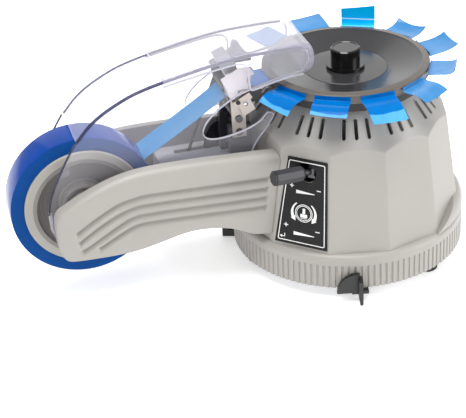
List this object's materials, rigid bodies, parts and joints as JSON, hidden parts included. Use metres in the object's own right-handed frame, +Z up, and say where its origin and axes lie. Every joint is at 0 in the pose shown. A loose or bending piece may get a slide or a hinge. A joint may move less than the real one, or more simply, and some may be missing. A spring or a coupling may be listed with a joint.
{
  "type": "powered tape dispenser",
  "caption": "Desk tape dispenser with a round powered base, a side arm for the roll, a feed and cutter under a clear cover, and a carousel that holds cut strips.",
  "frame": {"origin": "centre of the base at the standing surface, below the carousel's spindle", "axes": "+Z up along the spindle; -X towards the arm and the reel; +Y to the side away from the width lever"},
  "size_m": [0.3339, 0.177, 0.176],
  "materials": {
    "warm_grey": "moulded, fine texture",
    "reel_grey": "moulded, satin",
    "dark_grey": "moulded, satin gloss",
    "black": "moulded, fine texture",
    "black_gloss": "polished",
    "rubber": "matt",
    "steel": "brushed",
    "bright_steel": "ground bright",
    "painted": "satin paint",
    "painted_dark": "satin paint",
    "bronze": "sintered",
    "gear_plastic": "natural acetal",
    "board_green": "solder mask",
    "label": "printed film",
    "tape": "film with adhesive",
    "core_card": "wound card",
    "clear": "clear, moulded"
  },
  "bodies": {
    "base": {"base_ring": "warm_grey", "floor_plate": "steel", "rubber_feet": "rubber", "foot_brackets": "black", "floor_screws": "steel", "housing": "warm_grey", "inlet_cowl": "warm_grey", "control_plate": "label", "spindle_bush": "bronze", "gearmotor": "steel", "motor_plate": "steel", "circuit_board": "board_green", "switch_frame": "black", "power_jack": "black", "arm_side_front": "warm_grey", "arm_side_rear": "warm_grey", "arm_deck": "dark_grey", "arm_belly": "warm_grey", "arm_screws": "steel", "reel_axle": "bright_steel", "tape_web": "tape", "feed_motor": "steel", "feed_belt": "rubber", "cutter_plate_front": "painted", "cutter_plate_rear": "painted_dark", "cutter_bar": "steel", "roller_bracket": "steel", "tape_guide": "steel", "strip_pad": "rubber", "blade_solenoid": "painted_dark", "lever_yoke": "steel"},
    "carousel": {"carousel_disc": "dark_grey", "spindle": "bright_steel", "knob_collar": "dark_grey", "carousel_knob": "black_gloss", "set_screw": "steel", "drive_gear": "gear_plastic", "tape_strips": "tape"},
    "drive_pinion": {"motor_pinion": "gear_plastic"},
    "reel": {"reel_front": "reel_grey", "reel_rear": "reel_grey", "roll_core": "core_card", "tape_roll": "tape"},
    "feed": {"feed_roller": "rubber", "feed_roller_pulley": "black"},
    "press": {"press_roller": "rubber"},
    "feed_drive": {"feed_motor_pulley": "black"},
    "cutter": {"blade_carrier": "painted_dark", "blade": "bright_steel", "blade_screws": "steel"},
    "cover": {"clear_cover": "clear", "front_hood": "clear", "cover_catch": "dark_grey"},
    "lever": {"width_lever": "bright_steel", "lever_knob": "dark_grey"},
    "rocker": {"power_rocker": "black"}
  },
  "joints": [
    {"name": "carousel_turn", "type": "hinge", "parent": "base", "child": "carousel", "pos_m": [0, 0, 0.14], "axis": [0, 0, 1], "continuous": true},
    {"name": "pinion_turn", "type": "hinge", "parent": "base", "child": "drive_pinion", "pos_m": [0.03325, 0, 0.115], "axis": [0, 0, 1], "continuous": true},
    {"name": "reel_turn", "type": "hinge", "parent": "base", "child": "reel", "pos_m": [-0.197, 0, 0.074], "axis": [0, 1, 0], "continuous": true},
    {"name": "feed_turn", "type": "hinge", "parent": "base", "child": "feed", "pos_m": [-0.08533, 0, 0.13707], "axis": [0, 1, 0], "continuous": true},
    {"name": "press_turn", "type": "hinge", "parent": "base", "child": "press", "pos_m": [-0.09047, 0, 0.1453], "axis": [0, 1, 0], "continuous": true},
    {"name": "feed_motor_turn", "type": "hinge", "parent": "base", "child": "feed_drive", "pos_m": [-0.112, 0, 0.07], "axis": [0, 1, 0], "continuous": true},
    {"name": "blade_stroke", "type": "slide", "parent": "base", "child": "cutter", "axis": [0.342, 0, -0.9397], "range_m": [0, 0.005]},
    {"name": "cover_hinge", "type": "hinge", "parent": "base", "child": "cover", "pos_m": [-0.197, 0, 0.074], "axis": [0, -1, 0], "range_deg": [0, 70]},
    {"name": "lever_swing", "type": "hinge", "parent": "base", "child": "lever", "pos_m": [-0.04293, -0.05263, 0.09196], "axis": [0.0872, 0.0935, 0.9918], "range_deg": [0, 50]},
    {"name": "rocker_tilt", "type": "hinge", "parent": "base", "child": "rocker", "pos_m": [0.06724, 0.02056, 0.08162], "axis": [-0.2924, 0.9563, 0], "range_deg": [-12, 0]}
  ],
  "couplings": [
    {"joint": "pinion_turn", "follows": "carousel_turn", "ratio": -2.6667},
    {"joint": "press_turn", "follows": "feed_turn", "ratio": -1.5278},
    {"joint": "feed_motor_turn", "follows": "feed_turn", "ratio": 1}
  ]
}
